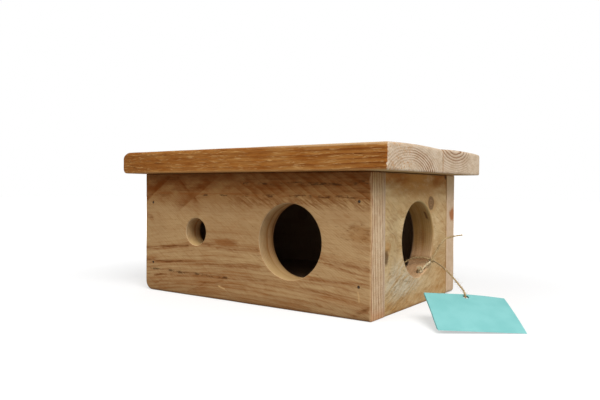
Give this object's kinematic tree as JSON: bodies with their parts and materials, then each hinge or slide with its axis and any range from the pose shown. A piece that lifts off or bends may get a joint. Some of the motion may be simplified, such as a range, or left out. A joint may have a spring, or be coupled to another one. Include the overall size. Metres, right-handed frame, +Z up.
{
  "type": "birdhouse",
  "caption": "Low box-shaped birdhouse of reclaimed boards with drilled round entrances, an overhanging flat plank roof and a bare card tag on jute twine.",
  "frame": {"origin": "on the ground under the middle of the roof", "axes": "+X along the box towards the drilled end, +Y from the front panel to the back panel, +Z up"},
  "size_m": [0.3293, 0.177, 0.1194],
  "materials": {
    "front_wood": "bare weathered softwood, lightly sanded",
    "side_wood": "bare sawn softwood",
    "roof_wood": "bare weathered softwood, eased edges",
    "steel": "dulled steel",
    "twine": "hairy two-ply jute",
    "card": "matt coloured card, unprinted"
  },
  "bodies": {
    "box": {"front_panel": "front_wood", "back_panel": "side_wood", "left_end_panel": "side_wood", "right_end_panel": "side_wood", "floor_board": "side_wood", "front_nails": "steel", "back_nails": "steel", "floor_nails": "steel", "twine_tack": "steel", "twine_knot": "twine", "twine_anchor_strand": "twine", "twine_inner_tail": "twine", "twine_outer_tail": "twine", "twine_tag_lead": "twine", "tag_stopper_knot": "twine", "swing_tag": "card"},
    "roof": {"front_roof_board": "roof_wood", "rear_roof_board": "roof_wood", "roof_screws": "steel"}
  },
  "joints": [
    {"name": "roof_lift", "type": "slide", "parent": "box", "child": "roof", "axis": [0, 0, 1], "range_m": [0, 0.1]}
  ]
}
